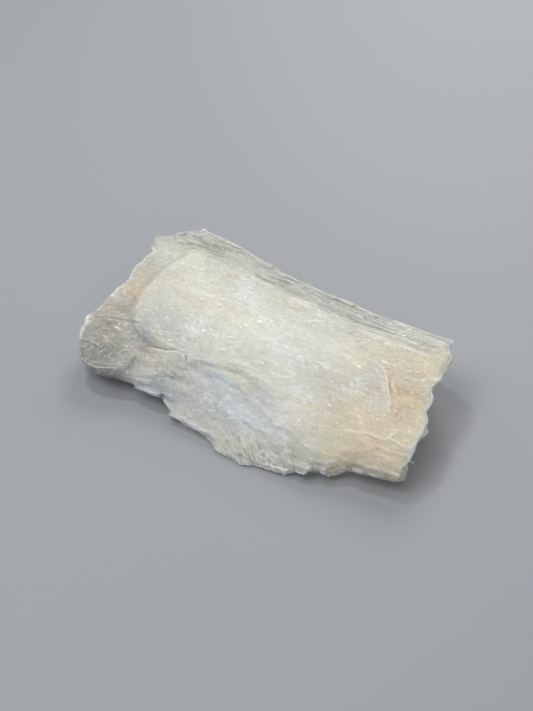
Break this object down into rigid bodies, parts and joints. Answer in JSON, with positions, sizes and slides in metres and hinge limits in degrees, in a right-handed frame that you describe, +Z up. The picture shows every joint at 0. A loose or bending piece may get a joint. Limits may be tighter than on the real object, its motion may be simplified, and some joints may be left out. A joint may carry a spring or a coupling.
{
  "type": "selenite crystal blade",
  "caption": "Rough selenite cleavage blade with a raised plate, stepped front ledges, splintered ends and a flat base to rest on.",
  "frame": {"origin": "under the middle of the blade's box, on the plane that it rests on", "axes": "+X along the grain and the long edges, towards the undercut end; +Y across the grain, towards the high crest; +Z up from the resting plane"},
  "size_m": [0.1068, 0.069, 0.0208],
  "materials": {
    "gypsum": "milky translucent gypsum, silky along the grain, frosted white on broken edges"
  },
  "bodies": {
    "root": {"selenite_blade": "gypsum"}
  },
  "joints": []
}
